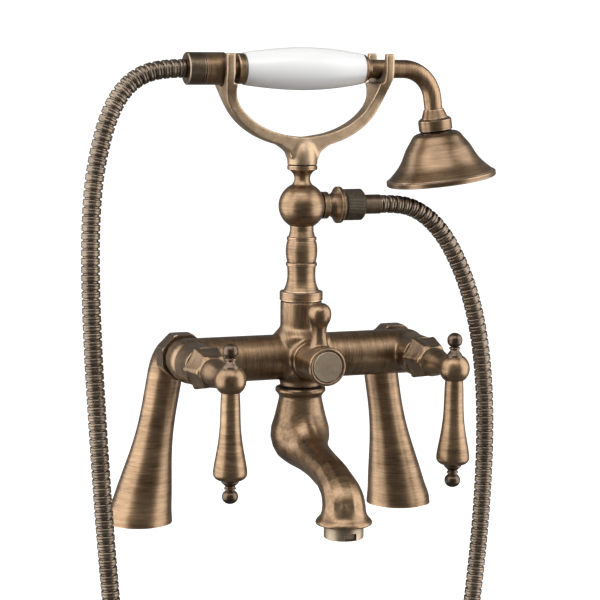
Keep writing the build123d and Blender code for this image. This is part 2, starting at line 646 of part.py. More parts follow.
with BuildPart() as aerator_housing:
    cup = [(aerator_skirt - overrun, aerator_bottom + insert_thick), (aerator_skirt - overrun, aerator_bottom),
           (aerator_radius - chamfer_edge, aerator_bottom), (aerator_radius, aerator_bottom + chamfer_edge),
           (aerator_radius, outlet_rim_bottom), (aerator_skirt, outlet_rim_bottom),
           (aerator_skirt, aerator_thread_top), (aerator_skirt - overrun, aerator_thread_top)]
    revolve(stepped(outlet_plane, *cup), axis=outlet_line)
    slot_base = aerator_bottom + chamfer_edge
    for way in (-1, 1):
        slot_at = (0, -column_reach - spout_reach + way * aerator_radius, slot_base + slot_height / 2)
        with Locations(slot_at):
            Box(slot_width, 2 * slot_depth, slot_height, mode=Mode.SUBTRACT)
save(aerator_housing, "aerator_housing")

insert_radius = aerator_skirt - overrun - close_gap
jet_radius = 0.9
jet_rings = 3
with BuildPart() as aerator_insert:
    with BuildSketch(Plane.XY.offset(aerator_bottom + overrun)):
        with Locations((0, -column_reach - spout_reach)):
            Circle(insert_radius)
            for ring_number in range(1, jet_rings + 1):
                with PolarLocations(insert_radius * ring_number / (jet_rings + 1), 6 * ring_number):
                    Circle(jet_radius, mode=Mode.SUBTRACT)
    extrude(amount=insert_thick)
save(aerator_insert, "aerator_insert")

# Riser: ring nut, concave socket and bulb sleeve on an inner pipe, with the ball tee on top
riser_nut_radius = 16.4
riser_nut_height = 7.2
riser_nut_top = tower_top + riser_nut_height
riser_nut_groove = 0.5
riser_spigot_depth = 9.8
riser_spigot_foot = tower_top - riser_spigot_depth
riser_pipe_radius = 7.0
riser_pipe_wall = 1.8
riser_pipe_depth = 19.8
riser_pipe_foot = tower_top - riser_pipe_depth
riser_seal_height = 3.0
socket_length = 21.9
socket_top = riser_nut_top + socket_length
socket_ring_radius = 11.9
socket_ring_height = 3.0
socket_radius = 13.9
socket_shares = [(1.0, 0.0), (0.89, 0.16), (0.79, 0.42), (0.765, 0.68), (0.79, 1.0)]
bulb_length = 16.5
bulb_top = socket_top + bulb_length
bulb_radius = 12.0
bulb_shares = [(0.90, 0.0), (0.975, 0.25), (1.0, 0.52), (0.975, 0.78), (0.90, 1.0)]
tee_ring_radius = 11.3
tee_ring_height = 3.2
tee_rise = 26.3
tee_ball_height = bulb_top + tee_rise
riser_pipe_short = 9.7
riser_pipe_top = tee_ball_height - riser_pipe_short
tee_ball_radius = 17.75
tee_neck_radius = 9.0
tee_height = 30.3
tee_top = tee_ball_height + tee_height
tee_top_ring_height = 3.2
tee_top_ring_radius = 11.4
tee_throat_shares = [(0.70, 0.0), (0.57, 0.20), (0.52, 0.42), (0.56, 0.62), (0.70, 0.84), (0.90, 1.0)]
pivot_radius = 5.0
pivot_height = 8.0
pivot_screw_radius = 1.9
pivot_screw_depth = 7.0
sleeve_bore = riser_pipe_radius + close_gap

with BuildPart() as riser_nut:
    groove_radius = tower_radius - chamfer_edge
    ring = [(sleeve_bore, riser_spigot_foot), (column_bore_radius - close_gap, riser_spigot_foot),
            (column_bore_radius - close_gap, tower_top), (groove_radius, tower_top),
            (groove_radius, tower_top + riser_nut_groove), (riser_nut_radius, tower_top + riser_nut_groove),
            (riser_nut_radius, riser_nut_top - chamfer_edge), (riser_nut_radius - chamfer_edge, riser_nut_top),
            (sleeve_bore, riser_nut_top)]
    revolve(stepped(column_plane, *ring), axis=column_axis)
save(riser_nut, "riser_nut")

with BuildPart() as riser_seal:
    ring = [(riser_pipe_radius, riser_spigot_foot - riser_seal_height),
            (column_bore_radius, riser_spigot_foot - riser_seal_height),
            (column_bore_radius, riser_spigot_foot), (riser_pipe_radius, riser_spigot_foot)]
    revolve(stepped(column_plane, *ring), axis=column_axis)
save(riser_seal, "riser_seal")

with BuildPart() as riser_pipe:
    wall = [(riser_pipe_radius - riser_pipe_wall, riser_pipe_foot), (riser_pipe_radius, riser_pipe_foot),
            (riser_pipe_radius, riser_pipe_top), (riser_pipe_radius - riser_pipe_wall, riser_pipe_top)]
    revolve(stepped(column_plane, *wall), axis=column_axis)
save(riser_pipe, "riser_pipe")

with BuildPart() as riser_socket:
    ring_foot = socket_top - socket_ring_height
    outline = shaped(socket_shares, socket_radius, riser_nut_top, ring_foot - riser_nut_top)
    revolve(curved(column_plane, outline, [(sleeve_bore, ring_foot), (sleeve_bore, riser_nut_top)]), axis=column_axis)
    ring = [(sleeve_bore, ring_foot), (socket_ring_radius - chamfer_edge, ring_foot),
            (socket_ring_radius, ring_foot + chamfer_edge), (socket_ring_radius, socket_top - chamfer_edge),
            (socket_ring_radius - chamfer_edge, socket_top), (sleeve_bore, socket_top)]
    revolve(stepped(column_plane, *ring), axis=column_axis)
save(riser_socket, "riser_socket")

with BuildPart() as riser_bulb:
    outline = shaped(bulb_shares, bulb_radius, socket_top, bulb_top - socket_top)
    revolve(curved(column_plane, outline, [(sleeve_bore, bulb_top), (sleeve_bore, socket_top)]), axis=column_axis)
save(riser_bulb, "riser_bulb")

# Side outlet of the tee: bead, neck, trumpet rim and threaded nose
outlet_bead_radius = 10.3
outlet_bead_from = 15.5
outlet_bead_to = 19.8
outlet_rim_from = 28.0
outlet_lip_radius = 14.0
outlet_face = 31.8
outlet_nose_radius = 10.3
outlet_nose_end = 41.0
outlet_bore_radius = 5.5
outlet_shares = [(0.593, 0.0), (0.60, 0.30), (0.71, 0.62), (1.0, 1.0)]
side_frame = rightward(0, tee_ball_height)

with BuildPart() as shower_tee:
    ball_low = tee_ball_height - sqrt(tee_ball_radius ** 2 - tee_neck_radius ** 2)
    throat_foot = tee_top_ring_radius * tee_throat_shares[0][0]
    ball_high = tee_ball_height + sqrt(tee_ball_radius ** 2 - throat_foot ** 2)
    ring_top = bulb_top + tee_ring_height
    foot = [(0, bulb_top), (tee_ring_radius - chamfer_edge, bulb_top), (tee_ring_radius, bulb_top + chamfer_edge),
            (tee_ring_radius, ring_top - chamfer_edge), (tee_ring_radius - 2 * chamfer_edge, ring_top),
            (tee_neck_radius, (ring_top + ball_low) / 2), (tee_neck_radius, ball_low + overrun),
            (0, ball_low + overrun)]
    revolve(stepped(column_plane, *foot), axis=column_axis)
    with Locations((0, -column_reach, tee_ball_height)):
        Sphere(tee_ball_radius)
    ring_low = tee_top - tee_top_ring_height
    outline = shaped(tee_throat_shares, tee_top_ring_radius, ball_high, ring_low - ball_high)
    root = [(0, ring_low), (0, ball_high - overrun), (throat_foot, ball_high - overrun)]
    revolve(curved(column_plane, outline, root), axis=column_axis)
    head = [(0, ring_low), (tee_top_ring_radius - chamfer_edge, ring_low),
            (tee_top_ring_radius, ring_low + chamfer_edge),
            (tee_top_ring_radius, tee_top), (pivot_radius, tee_top), (pivot_radius, tee_top + pivot_height),
            (0, tee_top + pivot_height)]
    revolve(stepped(column_plane, *head), axis=column_axis)
    bead = [(0, outlet_bead_from), (outlet_bead_radius, outlet_bead_from), (outlet_bead_radius, outlet_bead_to),
            (0, outlet_bead_to)]
    revolve(stepped(side_frame, *bead), axis=spin_line(side_frame))
    outline = shaped(outlet_shares, outlet_lip_radius, outlet_bead_to, outlet_rim_from - outlet_bead_to)
    trumpet = [(outlet_lip_radius, outlet_face - 2 * chamfer_edge), (outlet_lip_radius - 2 * chamfer_edge, outlet_face),
               (outlet_nose_radius, outlet_face), (outlet_nose_radius, outlet_nose_end), (0, outlet_nose_end),
               (0, outlet_bead_to)]
    revolve(curved(side_frame, outline, trumpet), axis=spin_line(side_frame))
    low_bore = [(0, bulb_top - overrun), (sleeve_bore, bulb_top - overrun), (sleeve_bore, riser_pipe_top),
                (outlet_bore_radius, riser_pipe_top), (outlet_bore_radius, tee_ball_height), (0, tee_ball_height)]
    revolve(stepped(column_plane, *low_bore), axis=column_axis, mode=Mode.SUBTRACT)
    side_bore = [(0, -outlet_bore_radius), (outlet_bore_radius, -outlet_bore_radius),
                 (outlet_bore_radius, outlet_nose_end + overrun), (0, outlet_nose_end + overrun)]
    revolve(stepped(side_frame, *side_bore), axis=spin_line(side_frame), mode=Mode.SUBTRACT)
    screw_bore = pivot_screw_radius + close_gap
    tap = [(0, tee_top + pivot_height - pivot_screw_depth), (screw_bore, tee_top + pivot_height - pivot_screw_depth),
           (screw_bore, tee_top + pivot_height + overrun), (0, tee_top + pivot_height + overrun)]
    revolve(stepped(column_plane, *tap), axis=column_axis, mode=Mode.SUBTRACT)
save(shower_tee, "shower_tee")

# Hose fittings at the tee
hose_radius = 7.0
ferrule_radius = 7.45
ferrule_bore = 5.0
ferrule_flange_radius = 9.9
ferrule_flange = 1.4
gasket_thick = 1.6
gasket_radius = 11.5
hose_nut_radius = 12.0
hose_nut_end = 48.5
hose_washer_thick = 1.6
outlet_ferrule_end = 63.3
lip_bore = ferrule_radius + close_gap
thread_bore = outlet_nose_radius + close_gap
flange_back = outlet_nose_end + hose_washer_thick

with BuildPart() as outlet_gasket:
    ring = [(thread_bore, outlet_face), (gasket_radius, outlet_face), (gasket_radius, outlet_face + gasket_thick),
            (thread_bore, outlet_face + gasket_thick)]
    revolve(stepped(side_frame, *ring), axis=spin_line(side_frame))
save(outlet_gasket, "outlet_gasket")

with BuildPart() as hose_nut:
    start = outlet_face + gasket_thick
    step = flange_back + ferrule_flange
    shell = [(thread_bore, start), (hose_nut_radius - chamfer_edge, start), (hose_nut_radius, start + chamfer_edge),
             (hose_nut_radius, hose_nut_end - 2 * chamfer_edge), (hose_nut_radius - 2 * chamfer_edge, hose_nut_end),
             (lip_bore, hose_nut_end), (lip_bore, step), (thread_bore, step)]
    revolve(stepped(side_frame, *shell), axis=spin_line(side_frame))
save(hose_nut, "hose_nut")

with BuildPart() as outlet_washer:
    ring = [(ferrule_bore, outlet_nose_end), (ferrule_flange_radius, outlet_nose_end),
            (ferrule_flange_radius, flange_back), (ferrule_bore, flange_back)]
    revolve(stepped(side_frame, *ring), axis=spin_line(side_frame))
save(outlet_washer, "outlet_washer")

with BuildPart() as outlet_ferrule:
    sleeve = [(ferrule_bore, flange_back), (ferrule_flange_radius, flange_back),
              (ferrule_flange_radius, flange_back + ferrule_flange), (ferrule_radius, flange_back + ferrule_flange),
              (ferrule_radius, outlet_ferrule_end), (ferrule_bore, outlet_ferrule_end)]
    revolve(stepped(side_frame, *sleeve), axis=spin_line(side_frame))
save(outlet_ferrule, "outlet_ferrule")

# Cradle: collar turning on the tee's pivot, crescent yoke, and a forked seat at each end
cradle_depth = 14.0
cradle_collar_radius = 11.4
cradle_foot = tee_top + seat_gap
cradle_floor = tee_top + pivot_height + seat_gap
collar_height = 13.2
fork_thick = 6.6
yoke_outset = 1.4
yoke_end_thick = 7.9
yoke_outer_half = cradle_span / 2 + yoke_outset
yoke_inner_half = yoke_outer_half - yoke_end_thick
yoke_inner_drop = 40.0
yoke_outer_drop = 48.5
cradle_centre_height = cradle_foot + collar_height + yoke_outer_drop
seat_rise = 10.5
handset_height = cradle_centre_height + seat_rise
prong_rise = 11.5
prong_top = handset_height + prong_rise
prong_thick = 6.0
seat_half_width = 14.0
fork_half_depth = seat_half_width + prong_thick
fork_root = 9.0
fork_swell = 4.0
arm_taper_drop = 19.0
arm_taper_rise = 9.0
web_half_width = 30.0
web_start = 5.7
web_sink = 0.7
web_foot = cradle_foot + web_start
web_top = cradle_centre_height - yoke_outer_drop * sqrt(1 - (web_half_width / yoke_outer_half) ** 2) + web_sink
# Web outline from the collar out to the yoke: share of the width, and of the rise
web_shares = [(0.0, 0.0), (0.07, 0.30), (0.20, 0.47), (0.45, 0.70), (1.0, 1.0)]
# Side outline of the arms where they widen into the forks: share of the rise, and of the widening
arm_side_shares = [(0.0, 0.0), (0.22, 0.10), (0.45, 0.38), (0.70, 0.76), (1.0, 1.0)]
# Rounded head of the collar inside the yoke: share of its radius, and of its height
collar_shares = [(1.0, 0.0), (0.975, 0.22), (0.89, 0.48), (0.74, 0.76), (0.56, 1.0)]
counterbore_rise = 11.7
counterbore_floor = cradle_foot + counterbore_rise
counterbore_radius = 5.0
screw_head_radius = 4.2
screw_head_thick = 2.6
tube_radius = 7.0
tail_radius = 12.05
fork_x = cradle_span / 2
grip_frame = rightward(0, handset_height)


def seat_centre(radius):
    """Height of a fork's round seat, so that a piece of this radius rests just clear of it."""
    return handset_height - radius - seat_gap + seat_half_width


with BuildPart() as cradle:
    with BuildSketch(Plane(origin=(0, -column_reach, cradle_centre_height), x_dir=(1, 0, 0), z_dir=(0, -1, 0))):
        Ellipse(yoke_outer_half, yoke_outer_drop)
        Ellipse(yoke_inner_half, yoke_inner_drop, mode=Mode.SUBTRACT)
        with Locations((0, yoke_outer_drop / 2)):
            Rectangle(2 * yoke_outer_half, yoke_outer_drop, mode=Mode.SUBTRACT)
        prong_length = prong_top - cradle_centre_height
        root_x = yoke_outer_half * sqrt(1 - (fork_root / yoke_outer_drop) ** 2)
        with BuildLine():
            Polyline((fork_x - fork_thick / 2, -fork_root), (root_x, -fork_root), (fork_x + fork_thick / 2, fork_swell),
                     (fork_x + fork_thick / 2, prong_length), (fork_x - fork_thick / 2, prong_length), close=True)
        prong = make_face()
        mirror(prong, about=Plane.YZ)
        with BuildLine():
            edge = Spline(*[(cradle_collar_radius + (web_half_width - cradle_collar_radius) * out,
                             web_foot - cradle_centre_height + (web_top - web_foot) * up)
                            for out, up in web_shares])
            top_corner = (0, -(yoke_inner_drop + yoke_outer_drop) / 2)
            Polyline(edge @ 1, top_corner, (0, web_foot - cradle_centre_height), edge @ 0)
        web = make_face()
        mirror(web, about=Plane.YZ)
    extrude(amount=fork_half_depth + overrun, both=True)
    with BuildSketch(Plane(origin=(0, -column_reach, cradle_centre_height), x_dir=(0, 1, 0), z_dir=(1, 0, 0))):
        with BuildLine():
            edge = Spline(*[(cradle_depth / 2 + (fork_half_depth - cradle_depth / 2) * wider,
                             (arm_taper_drop + arm_taper_rise) * up - arm_taper_drop)
                            for up, wider in arm_side_shares])
            low = web_foot - cradle_centre_height
            Polyline(edge @ 1, (fork_half_depth, prong_length), (0, prong_length), (0, low),
                     (cradle_depth / 2, low), edge @ 0)
        half = make_face()
        mirror(half, about=Plane.YZ)
    extrude(amount=yoke_outer_half + overrun, both=True, mode=Mode.INTERSECT)
    collar_top = cradle_centre_height - yoke_inner_drop - overrun
    outline = shaped(collar_shares, cradle_collar_radius, web_foot, collar_top - web_foot)
    root = [(0, collar_top), (0, cradle_foot), (cradle_collar_radius, cradle_foot)]
    revolve(curved(column_plane, outline, root), axis=column_axis)
    for side, held in ((-1, tail_radius), (1, tube_radius)):
        centre = seat_centre(held)
        channel = Plane(origin=(side * (fork_x - fork_thick), -column_reach, centre),
                        x_dir=(0, 1, 0), z_dir=(1, 0, 0))
        with BuildSketch(channel):
            Circle(seat_half_width)
            with Locations((0, seat_half_width)):
                Rectangle(2 * seat_half_width, 2 * seat_half_width)
        extrude(amount=2 * fork_thick, both=True, mode=Mode.SUBTRACT)
    pivot_bore = pivot_radius + running_gap
    hole = pivot_screw_radius + close_gap
    bores = [(0, cradle_foot - overrun), (pivot_bore, cradle_foot - overrun), (pivot_bore, cradle_floor),
             (hole, cradle_floor), (hole, counterbore_floor), (counterbore_radius, counterbore_floor),
             (counterbore_radius, cradle_centre_height), (0, cradle_centre_height)]
    revolve(stepped(column_plane, *bores), axis=column_axis, mode=Mode.SUBTRACT)
save(cradle, "cradle")

with BuildPart() as cradle_screw:
    head_seat = counterbore_floor + seat_gap
    tip = tee_top + pivot_height - pivot_screw_depth + seat_gap
    screw = [(0, tip), (pivot_screw_radius, tip), (pivot_screw_radius, head_seat), (screw_head_radius, head_seat),
             (screw_head_radius, head_seat + screw_head_thick), (0, head_seat + screw_head_thick)]
    revolve(stepped(column_plane, *screw), axis=column_axis)
save(cradle_screw, "cradle_screw")

# Handset: hose nut and tail, two collars, ceramic grip, swan-neck tube, head collar and rose
hose_end_nut_from = -92.0
tail_from = -79.0
nut_seam = 0.8
tail_to = -60.5
tail_tube_stop = -70.0
tail_chamfer = 2.6
tail_nose_end = -86.0
left_collar_from = -53.0
grip_from = -47.2
grip_to = 47.2
right_collar_to = 53.2
collar_radius = 11.4
right_collar_radius = 10.9
grip_radius = 16.05
grip_shares = [(0.76, 0.0), (0.93, 0.25), (1.0, 0.50), (0.92, 0.76), (0.71, 1.0)]
tube_wall = 1.6
tube_corner_x = 103.2
tube_bend = 25.0
head_tilt = 8.0
tube_end_station = 36.0
water_bore = tube_radius - tube_wall
tube_fit = tube_radius + close_gap
nose_tip_flange = tail_nose_end - hose_washer_thick
ferrule_start = nose_tip_flange - ferrule_flange
tilt_across = sin(radians(head_tilt))
tilt_down = cos(radians(head_tilt))
head_frame = Plane(origin=(tube_corner_x, -column_reach, handset_height), x_dir=(tilt_down, 0, tilt_across),
                   z_dir=(0, 1, 0))

with BuildPart() as hose_end_nut:
    shell = [(thread_bore, tail_from - nut_seam), (tail_radius, tail_from - nut_seam),
             (tail_radius, hose_end_nut_from + chamfer_edge),
             (tail_radius - chamfer_edge, hose_end_nut_from), (lip_bore, hose_end_nut_from),
             (lip_bore, ferrule_start), (thread_bore, ferrule_start)]
    revolve(stepped(grip_frame, *shell), axis=spin_line(grip_frame))
save(hose_end_nut, "hose_end_nut")

handset_ferrule_end = hose_end_nut_from - chamfer_edge
with BuildPart() as handset_ferrule:
    sleeve = [(ferrule_bore, nose_tip_flange), (ferrule_flange_radius, nose_tip_flange),
              (ferrule_flange_radius, ferrule_start), (ferrule_radius, ferrule_start),
              (ferrule_radius, handset_ferrule_end), (ferrule_bore, handset_ferrule_end)]
    revolve(stepped(grip_frame, *sleeve), axis=spin_line(grip_frame))
save(handset_ferrule, "handset_ferrule")

with BuildPart() as handset_washer:
    ring = [(ferrule_bore, tail_nose_end), (ferrule_flange_radius, tail_nose_end),
            (ferrule_flange_radius, nose_tip_flange), (ferrule_bore, nose_tip_flange)]
    revolve(stepped(grip_frame, *ring), axis=spin_line(grip_frame))
save(handset_washer, "handset_washer")

with BuildPart() as handset_tail:
    body_line = [(water_bore, tail_nose_end), (outlet_nose_radius, tail_nose_end), (outlet_nose_radius, tail_from),
                 (tail_radius, tail_from), (tail_radius, tail_to - tail_chamfer),
                 (tail_radius - tail_chamfer / 2, tail_to), (tube_fit, tail_to),
                 (tube_fit, tail_tube_stop), (water_bore, tail_tube_stop)]
    revolve(stepped(grip_frame, *body_line), axis=spin_line(grip_frame))
save(handset_tail, "handset_tail")

with BuildPart() as left_grip_collar:
    ring = [(tube_fit, left_collar_from), (collar_radius - chamfer_edge, left_collar_from),
            (collar_radius, left_collar_from + chamfer_edge), (collar_radius, grip_from - chamfer_edge),
            (collar_radius - chamfer_edge, grip_from), (tube_fit, grip_from)]
    revolve(stepped(grip_frame, *ring), axis=spin_line(grip_frame))
save(left_grip_collar, "left_grip_collar")

with BuildPart() as ceramic_grip:
    outline = shaped(grip_shares, grip_radius, grip_from, grip_to - grip_from)
    revolve(curved(grip_frame, outline, [(tube_fit, grip_to), (tube_fit, grip_from)]), axis=spin_line(grip_frame))
save(ceramic_grip, "ceramic_grip")

with BuildPart() as right_grip_collar:
    ring = [(tube_fit, grip_to), (right_collar_radius, grip_to), (right_collar_radius, grip_to + overrun),
            (tube_fit + chamfer_edge, right_collar_to), (tube_fit, right_collar_to)]
    revolve(stepped(grip_frame, *ring), axis=spin_line(grip_frame))
save(right_grip_collar, "right_grip_collar")

with BuildPart() as swan_neck:
    with BuildLine() as neck_line:
        FilletPolyline((tail_tube_stop, -column_reach, handset_height),
                       (tube_corner_x, -column_reach, handset_height),
                       (tube_corner_x + tube_end_station * tilt_across, -column_reach,
                        handset_height - tube_end_station * tilt_down), radius=tube_bend)
    with BuildSketch(Plane(origin=neck_line.line @ 0, z_dir=neck_line.line % 0), mode=Mode.PRIVATE) as tube_ring:
        Circle(tube_radius)
        Circle(water_bore, mode=Mode.SUBTRACT)
    sweep(tube_ring.sketch, path=neck_line.line)
save(swan_neck, "swan_neck")

head_flare_from = 31.0
head_ring_from = 37.6
head_ring_to = 48.4
head_ring_radius = 12.9
head_ring_round = 1.6
head_flare_radius = 10.2
bell_top_radius = 11.0
bell_from = 49.0
bell_to = 82.2
rose_rim_radius = 42.4
bell_inset = 0.5
bell_radius = rose_rim_radius - bell_inset
bell_wall = 2.0
bell_shares = [(0.36, 0.0), (0.44, 0.06), (0.49, 0.15), (0.58, 0.31), (0.70, 0.60), (0.825, 0.81), (0.905, 0.91),
               (0.975, 1.0)]
rose_rim_to = 86.4
rose_rim_width = 4.4
plate_recess = 1.2
nozzle_radius = 0.8
nozzle_rings = 5
nozzles_in_first_ring = 6
plate_radius = rose_rim_radius - rose_rim_width - close_gap
plate_ledge = 2.0

with BuildPart() as head_collar:
    ring = [(tube_fit, head_flare_from), (tube_fit + chamfer_edge, head_flare_from), (head_flare_radius, head_ring_from),
            (head_ring_radius - head_ring_round, head_ring_from),
            (head_ring_radius, head_ring_from + head_ring_round), (head_ring_radius, head_ring_to - head_ring_round),
            (head_ring_radius - head_ring_round, head_ring_to), (bell_top_radius, head_ring_to),
            (bell_top_radius, bell_from), (water_bore, bell_from), (water_bore, tube_end_station),
            (tube_fit, tube_end_station)]
    revolve(stepped(head_frame, *ring), axis=spin_line(head_frame))
save(head_collar, "head_collar")

with BuildPart() as shower_bell:
    outline = shaped(bell_shares, bell_radius, bell_from, bell_to - bell_from)
    inner = [(radius - bell_wall, station + bell_wall / 2) for radius, station in outline[1:-1]]
    closing = [(plate_radius - plate_ledge, bell_to)] + inner[::-1]
    closing = closing + [(water_bore, bell_from + bell_wall), (water_bore, bell_from)]
    revolve(curved(head_frame, outline, closing), axis=spin_line(head_frame))
save(shower_bell, "shower_bell")

with BuildPart() as rose_rim:
    ring = [(rose_rim_radius - rose_rim_width, bell_to), (rose_rim_radius - chamfer_edge, bell_to),
            (rose_rim_radius, bell_to + chamfer_edge), (rose_rim_radius, rose_rim_to - chamfer_edge),
            (rose_rim_radius - chamfer_edge, rose_rim_to), (rose_rim_radius - rose_rim_width, rose_rim_to)]
    revolve(stepped(head_frame, *ring), axis=spin_line(head_frame))
save(rose_rim, "rose_rim")

plate_from = bell_to + seat_gap
with BuildPart() as spray_plate:
    with BuildSketch(Plane(origin=head_frame.origin, x_dir=(0, 1, 0), z_dir=head_frame.y_dir).offset(plate_from)):
        Circle(plate_radius)
        for ring_number in range(1, nozzle_rings + 1):
            with PolarLocations(plate_radius * ring_number / (nozzle_rings + 1),
                                nozzles_in_first_ring * ring_number):
                Circle(nozzle_radius, mode=Mode.SUBTRACT)
    extrude(amount=rose_rim_to - plate_recess - plate_from)
save(spray_plate, "spray_plate")

# Shower hose: one line from the tee's ferrule down, round the loop and up to the handset's tail
hose_bend_share = 0.45
hose_join = (-164.25, 187.0)
outlet_points = [(outlet_ferrule_end, tee_ball_height), (80.5, tee_ball_height), (97.0, 244.0), (112.0, 232.0),
                 (126.0, 213.0), (141.0, 181.0), (152.0, 138.0), (157.5, 80.0), (156.0, 8.0), (149.5, -66.0),
                 (140.0, -138.0), (122.0, -206.0), (96.0, -262.0), (55.0, -300.0), (0.0, -313.0), (-55.0, -300.0),
                 (-96.0, -262.0), (-121.0, -206.0), (-136.5, -138.0), (-148.0, -64.0), (-154.5, 10.0),
                 (-159.5, 86.0), (-163.5, 156.0), hose_join]
handset_points = [hose_join, (-165.0, 218.0), (-163.0, 262.0), (-158.5, 290.0), (-152.0, 314.0), (-143.0, 333.0),
                  (-130.0, 346.0), (-111.5, handset_height), (handset_ferrule_end - seat_gap, handset_height)]


def bend_radii(route):
    """Radius at each inner point, from the shorter run beside it and the turn there."""
    radii = []
    for before, here, after in zip(route, route[1:], route[2:]):
        turn = (here - before).get_angle(after - here)
        radii.append(hose_bend_share * min((here - before).length, (after - here).length) / tan(radians(turn) / 2))
    return radii


for name, points in (("hose_outlet_run", outlet_points), ("hose_handset_run", handset_points)):
    route = [Vector(x, -column_reach, z) for x, z in points]
    radii = bend_radii(route)
    with BuildPart() as hose:
        with BuildLine():
            run = FilletPolyline(*route, radius=radii)
        with BuildSketch(Plane(origin=run @ 0, z_dir=run % 0), mode=Mode.PRIVATE) as hose_ring:
            Circle(hose_radius)
        sweep(hose_ring.sketch, path=run)
    save(hose, name)
    print(name, "radii", [round(radius) for radius in radii])
    print("length", round(run.length, 1), "volume over section times length",
          round(hose.part.volume / (pi * hose_radius ** 2 * run.length), 4))
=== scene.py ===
from math import cos, pi, radians, sin
import bpy
from mathutils import Matrix, Vector


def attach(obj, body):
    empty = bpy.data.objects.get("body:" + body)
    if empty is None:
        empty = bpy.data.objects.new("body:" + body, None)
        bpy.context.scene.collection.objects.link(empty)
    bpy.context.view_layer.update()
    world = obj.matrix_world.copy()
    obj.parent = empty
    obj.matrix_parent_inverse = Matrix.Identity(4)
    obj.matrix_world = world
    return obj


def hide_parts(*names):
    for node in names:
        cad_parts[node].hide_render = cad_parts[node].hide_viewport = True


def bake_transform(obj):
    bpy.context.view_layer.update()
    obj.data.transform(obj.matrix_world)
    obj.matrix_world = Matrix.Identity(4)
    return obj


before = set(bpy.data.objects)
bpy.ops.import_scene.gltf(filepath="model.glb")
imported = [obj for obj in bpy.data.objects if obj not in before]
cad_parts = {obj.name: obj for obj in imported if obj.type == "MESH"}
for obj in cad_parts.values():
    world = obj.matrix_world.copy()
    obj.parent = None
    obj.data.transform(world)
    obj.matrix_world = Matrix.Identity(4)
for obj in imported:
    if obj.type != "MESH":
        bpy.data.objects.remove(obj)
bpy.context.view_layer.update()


# Legs. Two curved tubes of cast brass that flare to round feet on the bath's deck,
# brushed and then darkened to antique bronze. A rubber ring in each foot seals the hole.
class Finish:
    """One output inside a finish, so that sums of textures are written as sums."""

    def __init__(self, tree, socket=None):
        self.tree = tree
        self.socket = socket

    def add(self, kind, settings, sockets, output=0):
        """Any other node: its type, its settings, then the values or links of its sockets."""
        node = self.tree.nodes.new(kind)
        for name, value in settings.items():
            if name == "stops":
                while len(node.color_ramp.elements) < len(value):
                    node.color_ramp.elements.new(0.5)
                for element, (place, colour) in zip(node.color_ramp.elements, value):
                    element.position = place
                    element.color = (*colour, 1)
            else:
                setattr(node, name, value)
        for name, value in sockets.items():
            if isinstance(value, Finish):
                self.tree.links.new(value.socket, node.inputs[name])
            else:
                node.inputs[name].default_value = value
        return Finish(self.tree, node.outputs[output])

    def sum_of(self, operation, first, second, clamp=False):
        return self.add("ShaderNodeMath", {"operation": operation, "use_clamp": clamp}, {0: first, 1: second})

    def __add__(self, other): return self.sum_of("ADD", self, other)
    __radd__ = __add__
    def __sub__(self, other): return self.sum_of("SUBTRACT", self, other)
    def __rsub__(self, other): return self.sum_of("SUBTRACT", other, self)
    def __mul__(self, other): return self.sum_of("MULTIPLY", self, other)
    __rmul__ = __mul__

    def held(self):
        """The same value, held between 0 and 1."""
        return self.sum_of("ADD", self, 0.0, clamp=True)

    def between(self, low, high):
        """0 below low, 1 above high, and a straight ramp between them."""
        return ((self - low) * (1 / (high - low))).held()

    def mix(self, first, second):
        """Colour that goes from first to second as this value goes from 0 to 1."""
        return self.add("ShaderNodeMix", {"data_type": "RGBA"}, {0: self, 6: first, 7: second}, output=2)

    def reach(self, colour, rough, height, strength, distance, *more):
        """Link the finish to its shader's sockets."""
        shader = self.tree.nodes["Principled BSDF"]
        bump = self.add("ShaderNodeBump", {}, {"Height": height, "Strength": strength, "Distance": distance})
        for name, value in (("Base Color", colour), ("Roughness", rough), ("Normal", bump), *more):
            self.tree.links.new(value.socket, shader.inputs[name])


def new_finish(name, steady):
    """A material whose steady values are set on its shader, and a blank socket to start from."""
    material = bpy.data.materials.new(name)
    material.use_nodes = True
    for socket, value in steady.items():
        material.node_tree.nodes["Principled BSDF"].inputs[socket].default_value = value
    return material, Finish(material.node_tree)


def wear_and_painted_shade(blank, edge, recess):
    """Two masks: the outer edges that hands rub bright, and painted shade in the corners and recesses, darkened
    where ambient occlusion is high.
    """
    rounded = blank.add("ShaderNodeBevel", {"samples": 4}, {"Radius": edge})
    true = blank.add("ShaderNodeNewGeometry", {}, {}, "Normal")
    facing = blank.add("ShaderNodeVectorMath", {"operation": "DOT_PRODUCT"}, {0: rounded, 1: true}, "Value")
    open_air = blank.add("ShaderNodeAmbientOcclusion", {"samples": 6}, {"Distance": recess}, "AO")
    return ((1.0 - facing) * 9.0 * open_air * open_air).held(), (1.0 - open_air).between(0.10, 0.75)


